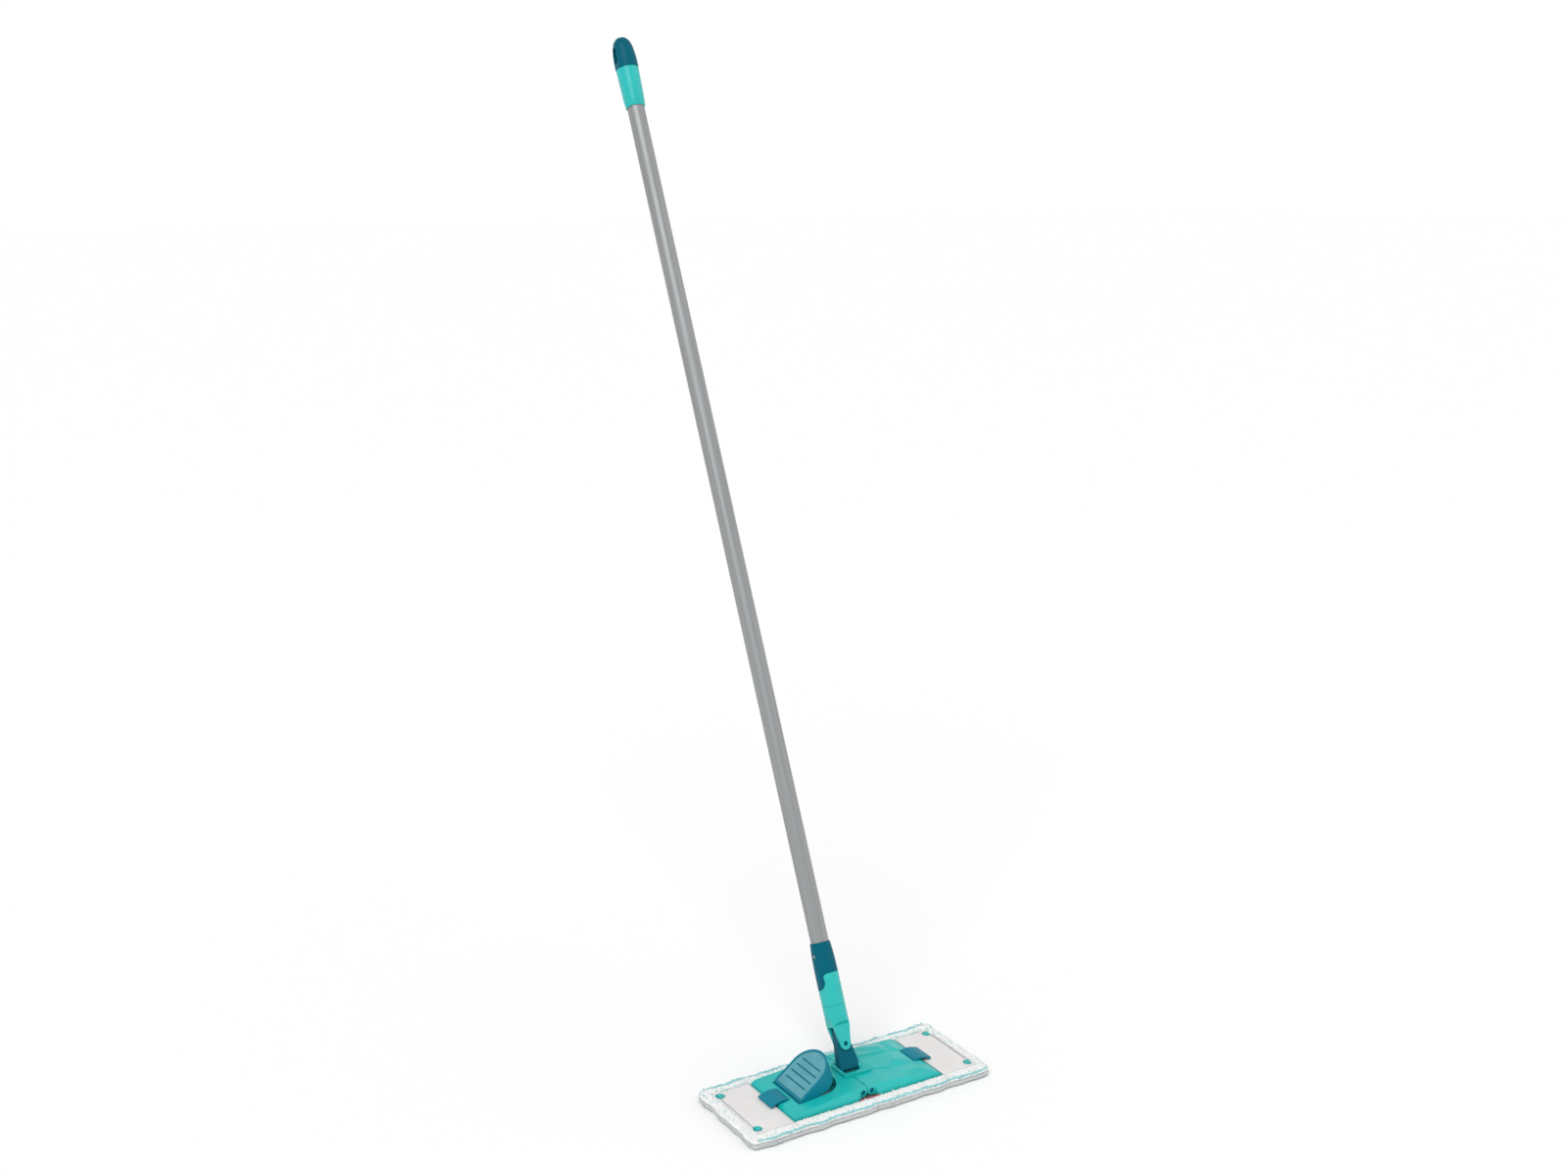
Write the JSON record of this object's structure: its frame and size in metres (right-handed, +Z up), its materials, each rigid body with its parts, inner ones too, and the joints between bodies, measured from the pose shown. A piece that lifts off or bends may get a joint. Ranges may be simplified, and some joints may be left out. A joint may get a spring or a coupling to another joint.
{
  "type": "flat mop",
  "caption": "Flat mop with a long pole on a two-way joint, a folding head with a foot pedal, spring clips, and a pile cover held by end pockets.",
  "frame": {"origin": "middle of the cover's sole, on the floor that the mop stands on", "axes": "+X along the head to the right of the pedal, +Y to the back, towards which the pole leans, +Z up"},
  "size_m": [0.375, 0.703, 1.3864],
  "materials": {
    "turquoise_plastic": "smooth semi-gloss moulded plastic",
    "petrol_plastic": "smooth semi-gloss moulded plastic",
    "clip_plastic": "satin moulded plastic",
    "tread_plastic": "matte grooved soft plastic",
    "pole_metal": "satin drawn tube",
    "steel": "plain bright steel",
    "pile": "looped microfibre pile, off-white with aqua yarn",
    "pocket_fabric": "smooth light grey woven fabric"
  },
  "bodies": {
    "handle": {"pole_tube": "pole_metal", "grip_sleeve": "turquoise_plastic", "grip_end_cap": "petrol_plastic", "click_sleeve": "petrol_plastic", "socket_collar": "turquoise_plastic", "joint_fork": "turquoise_plastic", "tilt_pin": "petrol_plastic", "button_spring": "steel"},
    "release": {"release_button": "steel"},
    "joint_block": {"yoke": "petrol_plastic", "yoke_axle": "steel"},
    "bridge": {"centre_bridge": "turquoise_plastic", "fold_pin_left_front": "petrol_plastic", "fold_pin_left_back": "petrol_plastic", "fold_pin_right_front": "petrol_plastic", "fold_pin_right_back": "petrol_plastic"},
    "left_wing": {"wing_left": "turquoise_plastic", "pocket_left": "pocket_fabric", "pedal_pin": "steel", "pedal_spring": "steel"},
    "right_wing": {"wing_right": "turquoise_plastic", "pocket_right": "pocket_fabric"},
    "left_pad": {"pad_left": "pile"},
    "right_pad": {"pad_right": "pile"},
    "pedal": {"pedal_body": "clip_plastic", "pedal_tread": "tread_plastic"},
    "latch": {"latch_bar": "petrol_plastic"},
    "left_clip": {"clip_left": "clip_plastic"},
    "right_clip": {"clip_right": "clip_plastic"}
  },
  "joints": [
    {"name": "button_press", "type": "slide", "parent": "handle", "child": "release", "axis": [1, 0, 0], "range_m": [0, 0.0025], "stiffness_N_per_m": 500, "springref_m": -0.002, "deforming": ["button_spring"]},
    {"name": "handle_tilt", "type": "hinge", "parent": "handle", "child": "joint_block", "pos_m": [0.003, 0.01517, 0.05817], "axis": [0, 0.91, -0.4147], "range_deg": [-45, 45]},
    {"name": "handle_lean", "type": "hinge", "parent": "joint_block", "child": "bridge", "pos_m": [0.003, 0.0012, 0.0275], "axis": [1, 0, 0], "range_deg": [-78, 33]},
    {"name": "fold_left", "type": "hinge", "parent": "bridge", "child": "left_wing", "pos_m": [-0.0067, 0, 0.0195], "axis": [0, -1, 0], "range_deg": [0, 78]},
    {"name": "fold_right", "type": "hinge", "parent": "bridge", "child": "right_wing", "pos_m": [0.0067, 0, 0.0195], "axis": [0, 1, 0], "range_deg": [0, 78]},
    {"name": "pad_left_swing", "type": "hinge", "parent": "left_wing", "child": "left_pad", "pos_m": [-0.1875, 0, 0.0092], "axis": [0, 1, 0], "range_deg": [0, 160], "deforming": ["pad_left"]},
    {"name": "pad_right_swing", "type": "hinge", "parent": "right_wing", "child": "right_pad", "pos_m": [0.1875, 0, 0.0092], "axis": [0, -1, 0], "range_deg": [0, 160], "deforming": ["pad_right"]},
    {"name": "pedal_press", "type": "hinge", "parent": "left_wing", "child": "pedal", "pos_m": [-0.091, 0, 0.0166], "axis": [0, 1, 0], "range_deg": [0, 17], "stiffness_Nm_per_rad": 0.3, "springref_deg": -20.05},
    {"name": "latch_draw", "type": "slide", "parent": "left_wing", "child": "latch", "axis": [-1, 0, 0], "range_m": [0, 0.005]},
    {"name": "clip_left_lift", "type": "hinge", "parent": "left_wing", "child": "left_clip", "pos_m": [-0.1015, 0, 0.0196], "axis": [0, 1, 0], "range_deg": [0, 25], "stiffness_Nm_per_rad": 0.08, "springref_deg": -14.32},
    {"name": "clip_right_lift", "type": "hinge", "parent": "right_wing", "child": "right_clip", "pos_m": [0.1015, 0, 0.0196], "axis": [0, -1, 0], "range_deg": [0, 25], "stiffness_Nm_per_rad": 0.08, "springref_deg": -14.32}
  ],
  "couplings": [
    {"joint": "fold_right", "follows": "fold_left", "ratio": 1},
    {"joint": "pad_left_swing", "follows": "fold_left", "ratio": 2.04},
    {"joint": "pad_right_swing", "follows": "fold_left", "ratio": 2.04},
    {"joint": "latch_draw", "follows": "pedal_press", "m_per_rad": 0.01685}
  ]
}
